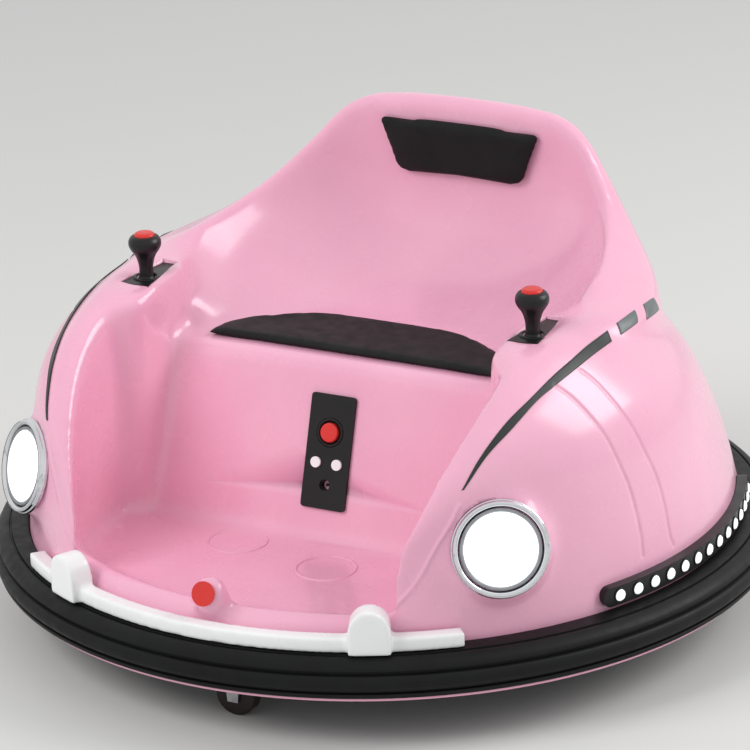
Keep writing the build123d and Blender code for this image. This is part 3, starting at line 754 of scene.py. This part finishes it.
def swell(pad, cap):
    """Swell a pad by cloth pressure, and move each point by no more than a cap in mm."""
    mesh = pad.data
    rest = [v.co.copy() for v in mesh.vertices]
    cloth = pad.modifiers.new("Cloth", "CLOTH")
    cloth.settings.use_pressure = True
    cloth.settings.uniform_pressure_force = pad_pressure
    cloth.settings.effector_weights.gravity = 0
    cloth.settings.quality = 4
    for frame_number in range(1, cloth_frames + 1):
        bpy.context.scene.frame_set(frame_number)
    finished = pad.evaluated_get(bpy.context.evaluated_depsgraph_get())
    swollen = bpy.data.meshes.new_from_object(finished)
    pad.modifiers.clear()
    bpy.context.scene.frame_set(1)
    for v, new, old in zip(mesh.vertices, swollen.vertices, rest):
        move = new.co - old
        if move.length > cap * mm:
            move = move.normalized() * cap * mm
        v.co = old + move
    bpy.data.meshes.remove(swollen)


def make_pad(name, node, cap, raised=0.0):
    """A foam pad: the solid shrunk, remeshed, swollen and subdivided; its top may be raised."""
    b = bmesh.new()
    b.from_mesh(nodes[node].data)
    bmesh.ops.remove_doubles(b, verts=b.verts, dist=merge_distance * mm)
    low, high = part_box(node)
    middle, size = (low + high) / 2, high - low
    scale = Matrix.Diagonal([1 - 2 * pad_shrink * mm / s for s in size] + [1])
    bmesh.ops.transform(b, verts=b.verts,
                        matrix=Matrix.Translation(middle) @ scale @ Matrix.Translation(-middle))
    for v in b.verts:
        lift = raised * (v.co.z - low.z) / size.z * mm
        v.co += Vector((0, pad_lean * lift, lift))
    start = with_modifiers(mesh_of(b), ("REMESH", {"mode": "VOXEL", "voxel_size": pad_voxel * mm}))
    pad = finish_piece(name, start, pad_foam, replaces=node)
    swell(pad, cap)
    pad.data = with_modifiers(start.copy(), ("SMOOTH", {"iterations": pad_smoothing,
                                                        "factor": 0.5}),
                              ("SUBSURF", {"levels": 1, "render_levels": 1}))
    bpy.data.meshes.remove(start)
    pad.data.shade_smooth()


def make_floor_rings():
    """Faint round ribs moulded on the foot floor."""
    b = bmesh.new()
    for x, y, r in floor_rings:
        lathe(b, [(r - 1.6, -0.6), (r + 1.6, -0.6), (r + 0.8, 0.7), (r, 0.95), (r - 0.8, 0.7)],
              (x * mm, y * mm, foot_floor * mm), segments=72)
    finish_piece("foot_rings", mesh_of(b), pink_plastic)


def make_panel_rings():
    """The collar round the charging socket, its pin, and the ring round the red button."""
    collar = rounded([(0, -9), (4.8, -9), (4.8, -2.0), (7.0, -0.2), (7.0, 0.9), (6.2, 1.4),
                      (4.3, 1.2), (4.1, -7.5), (0, -7.5)], {4: 0.4, 5: 0.4, 6: 0.3})
    pin = [(0, -7.6), (1.1, -7.6), (1.1, -1), (0, -0.4)]
    ring = rounded([(9.0, -0.4), (12.6, -0.4), (12.6, 1.9), (11.8, 2.4), (10.6, 2.2),
                    (9.4, 0.6), (9.0, 0.4)], {2: 0.4, 3: 0.4, 4: 0.4})
    b = bmesh.new()
    lathe(b, collar, socket_place, panel_lean, 40)
    lathe(b, pin, socket_place, panel_lean, 16)
    finish_piece("socket_collar", mesh_of(b), black_plastic)
    finish_piece("power_button_ring", turned(ring, power_seat, panel_lean, 56), black_plastic)


def make_camera():
    """The camera stands where the photograph was taken from, and its roll is kept."""
    back = Vector((sin(camera_azimuth) * cos(camera_elevation),
                   -cos(camera_azimuth) * cos(camera_elevation), sin(camera_elevation)))
    level = Vector((cos(camera_azimuth), sin(camera_azimuth), 0))
    upright = back.cross(level)
    right = level * cos(camera_roll) + upright * sin(camera_roll)
    up = upright * cos(camera_roll) - level * sin(camera_roll)
    data = bpy.data.cameras.new("camera")
    data.sensor_width = 36.0
    data.lens = focal_pixels / image_size * data.sensor_width
    data.clip_end = 50.0
    camera = bpy.data.objects.new("camera", data)
    turn = Matrix((right, up, back)).transposed().to_4x4()
    camera.matrix_world = Matrix.Translation(camera_target + back * camera_distance) @ turn
    bpy.context.scene.collection.objects.link(camera)
    bpy.context.scene.camera = camera


def make_floor():
    """A plain pale floor."""
    b = bmesh.new()
    bmesh.ops.create_grid(b, x_segments=1, y_segments=1, size=12.0)
    mesh = bpy.data.meshes.new("floor")
    b.to_mesh(mesh)
    b.free()
    floor = bpy.data.objects.new("floor", mesh)
    bpy.context.scene.collection.objects.link(floor)
    mesh.materials.append(new_material("pale_floor", {"Base Color": linear("DEDEDB"),
                                                      "Roughness": 0.75}))


def make_light():
    """A pale room, one large soft light from the rear left, and one from the front right."""
    world = bpy.data.worlds.new("pale_room")
    bpy.context.scene.world = world
    world.use_nodes = True
    tree = world.node_tree
    seen = tree.nodes["Background"]
    seen.inputs["Color"].default_value = linear("F2F2F0")
    seen.inputs["Strength"].default_value = 1.0
    lighting = add_node(tree, "ShaderNodeBackground", inputs={
        "Color": linear("F6F7FA"), "Strength": 0.62})
    path = add_node(tree, "ShaderNodeLightPath")
    either = path.outputs["Is Camera Ray"]
    for ray in ("Is Transmission Ray", "Is Glossy Ray"):
        either = add_node(tree, "ShaderNodeMath", {"operation": "MAXIMUM"}, {
            0: either, 1: path.outputs[ray]}).outputs[0]
    mix = add_node(tree, "ShaderNodeMixShader", inputs={
        0: either, 1: lighting.outputs[0], 2: seen.outputs[0]})
    tree.links.new(mix.outputs[0], tree.nodes["World Output"].inputs["Surface"])

    middle = Vector((0, 0, 0.2))
    for name, place, size, watts, reflected in (("window", (2.1, 1.2, 1.7), 1.6, 40.0, True),
                                                ("room", (-1.3, -1.9, 2.1), 1.4, 35.0, False)):
        data = bpy.data.lights.new(name, "AREA")
        data.size = size
        data.energy = watts
        lamp = bpy.data.objects.new(name, data)
        lamp.location = place
        lamp.visible_glossy = reflected
        lamp.rotation_euler = (middle - Vector(place)).to_track_quat("-Z", "Y").to_euler()
        bpy.context.scene.collection.objects.link(lamp)
    bpy.context.scene.view_settings.view_transform = "Standard"


# Blow-moulded polyethylene: a soft even pink, with broad highlights along its rolled edges
pink_plastic = moulded_plastic("pink_polyethylene", "F7B6CE", "F3AFC9", (0.22, 0.3), coat=0.5)
# Injection-moulded ABS: a clean white with small crisp highlights
white_plastic = moulded_plastic("white_abs", "FAFBFA", "F5F6F5", (0.2, 0.3))
# Moulded rubber: deep black and dry, with a fine grain that breaks its highlights up
black_rubber = grained("black_bumper_rubber", "0E0F10", "0A0B0B", (0.44, 0.56), 1.5, 0.12, 0.22)
# Satin ABS of the small black parts: near black, with one soft highlight on each edge
black_plastic = moulded_plastic("black_abs", "171718", "121213", (0.28, 0.4), 2.0, shine=0.35)
# Foam under a stretched skin: dull black with a pebble grain, drawn coarser than the real one
pad_foam = grained("black_foam_pad", "171818", "121313", (0.5, 0.65), 1.2, 0.15, 0.25)
# Moulded nylon of the wheel hubs: dark grey and dry
grey_plastic = grained("grey_nylon", "3A3B3D", "323335", (0.45, 0.55), 1.5, 0.1)
# Glossy ABS of the buttons and the badge: a full red with one bright spot
red_plastic = moulded_plastic("red_abs", "E0342C", "D42C26", (0.25, 0.35), 2.0)
# Hard nylon of the caster wheels: dark brown and dull
wheel_plastic = grained("brown_nylon", "2C2220", "241B19", (0.4, 0.5), 1.5, 0.1)
# Vinyl film: flat dark grey-green, duller than the glossy body that it lies on
stripe_vinyl = moulded_plastic("dark_vinyl_film", "2C302F", "262A29", (0.3, 0.4), 3.0, shine=0.4)
# The same film in mid grey, for the short dashes
dash_vinyl = moulded_plastic("grey_vinyl_film", "6A7070", "626868", (0.3, 0.4), 3.0)
# Zinc-plated pressed steel: pale grey, clouded, with blurred reflections
steel = plated_metal("zinc_plated_steel", "BFC0C2", "A9AAAD", (0.26, 0.42), 14.0, 1.0)
# Chrome plate on a moulded ring: a near mirror that a faint haze softens in places
chrome = plated_metal("bright_chrome", "DADCDF", "D2D4D8", (0.05, 0.12), 20.0, 3.0)
# Metallised satin ring inside the lamp: soft grey, brighter where it turns to the light
lamp_grey = plated_metal("satin_lamp_ring", "A2A4A7", "94969A", (0.26, 0.36), 12.0, 0.8)
# Clear lens over a white lamp that is on: it glows nearly evenly, with a glossy skin
lit_lens = glowing("lit_lens", "FFFFFF", "F1F4F7", 1.0, 22.0)
# Small moulded caps over white lamps: the same glow at a finer scale
lit_led = glowing("lit_led", "FFFFFF", "EEF2F6", 0.9, 4.0)

assign(black_rubber, "drive_tyre_left", "drive_tyre_right")
assign(white_plastic, "mode_buttons")
assign(black_plastic, "led_strip_left", "led_strip_right", "control_panel",
       "joystick_plate_left", "joystick_plate_right", "gearbox_left", "gearbox_right",
       "battery_block", "base_pan")
assign(grey_plastic, "drive_hub_left", "drive_hub_right")
assign(red_plastic, "power_button", "front_badge")
assign(steel, "caster_plate_front", "caster_plate_rear", "caster_fork_front",
       "caster_fork_rear", "caster_axle_front", "caster_axle_rear")
assign(wheel_plastic, "caster_wheel_front", "caster_wheel_rear")

make_camera()
make_floor()
make_light()
body_surface = make_body()
make_stripes(body_surface)
make_bumper()
make_front_bar()
make_pan_edge()
make_lamps()
make_led_domes()
make_sticks()
make_pad("soft_seat_pad", "seat_pad", 2.2)
make_pad("soft_headrest_pad", "headrest_pad", 2.6, 5.0)
make_floor_rings()
make_panel_rings()
